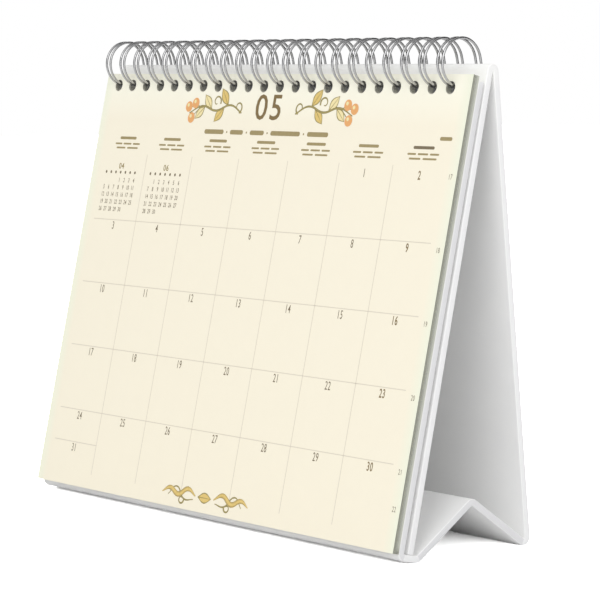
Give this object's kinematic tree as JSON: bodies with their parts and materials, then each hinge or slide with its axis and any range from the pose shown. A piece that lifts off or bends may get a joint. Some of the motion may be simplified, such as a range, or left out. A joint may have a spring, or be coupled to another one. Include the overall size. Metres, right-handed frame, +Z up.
{
  "type": "easel desk calendar",
  "caption": "Landscape desk calendar on a folded board easel, its month sheets hung from a twin-loop wire comb along the top.",
  "frame": {"origin": "on the surface it stands on, under the middle of the whole object", "axes": "+X along the sheets' width, to a reader's right; +Y towards the back; +Z up"},
  "size_m": [0.195, 0.0588, 0.1621],
  "materials": {
    "easel_board": "white paper wrap over board, matt",
    "sheet_paper": "coated paper, matt",
    "leaf_paper": "coated cream paper, matt",
    "wire": "bright silver wire"
  },
  "bodies": {
    "stand": {"easel": "easel_board", "sheet_pad": "sheet_paper", "wire_comb": "wire"},
    "leaf": {"front_leaf": "leaf_paper"}
  },
  "joints": [
    {"name": "front_leaf_turn", "type": "hinge", "parent": "stand", "child": "leaf", "pos_m": [0, 0.00729, 0.15379], "axis": [-1, 0, 0], "range_deg": [0, 230]}
  ]
}
